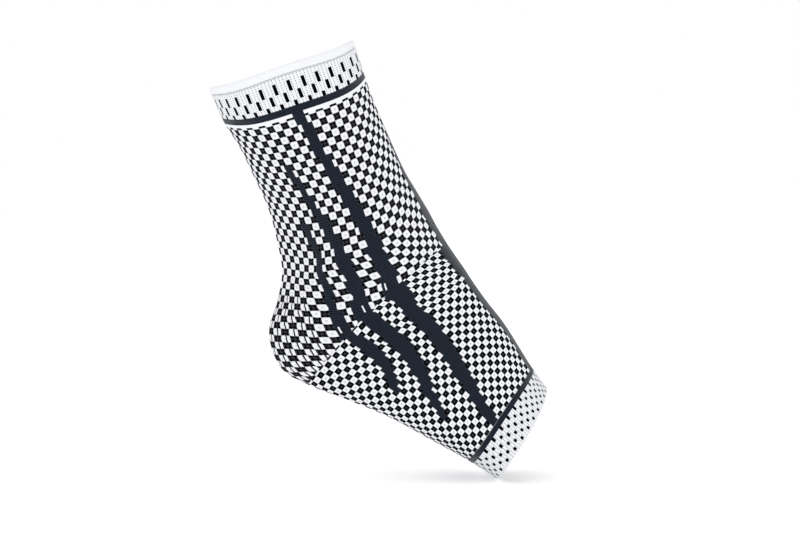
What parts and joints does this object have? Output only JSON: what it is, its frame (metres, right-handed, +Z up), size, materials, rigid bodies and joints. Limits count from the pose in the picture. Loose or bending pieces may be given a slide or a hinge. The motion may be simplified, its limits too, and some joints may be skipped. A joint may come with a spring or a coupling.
{
  "type": "knitted ankle support sleeve",
  "caption": "Open-toed knitted compression sleeve for the ankle, checked black and white with navy support bands, white calf cuff and dotted toe cuff, in its worn form.",
  "frame": {"origin": "centre of the ankle joint, inside the hollow sleeve, where the wearer's ankle sits", "axes": "+Z up through the calf opening, +X forward towards the toes, -Y towards the outer (little-toe) side of a right foot; the foot points down by about 40 degrees as with the heel raised"},
  "size_m": [0.1957, 0.0856, 0.2545],
  "materials": {
    "white_hem": "matte ribbed knit",
    "dashed_cuff": "matte fine knit with black dashes and a navy ring",
    "checked_knit": "matte raised check knit with navy ribbed bands",
    "dotted_cuff": "matte fine knit with black dots and a navy ring"
  },
  "bodies": {
    "root": {"top_welt": "white_hem", "calf_cuff": "dashed_cuff", "leg_sleeve": "checked_knit", "foot_sleeve": "checked_knit", "toe_cuff": "dotted_cuff"}
  },
  "joints": []
}
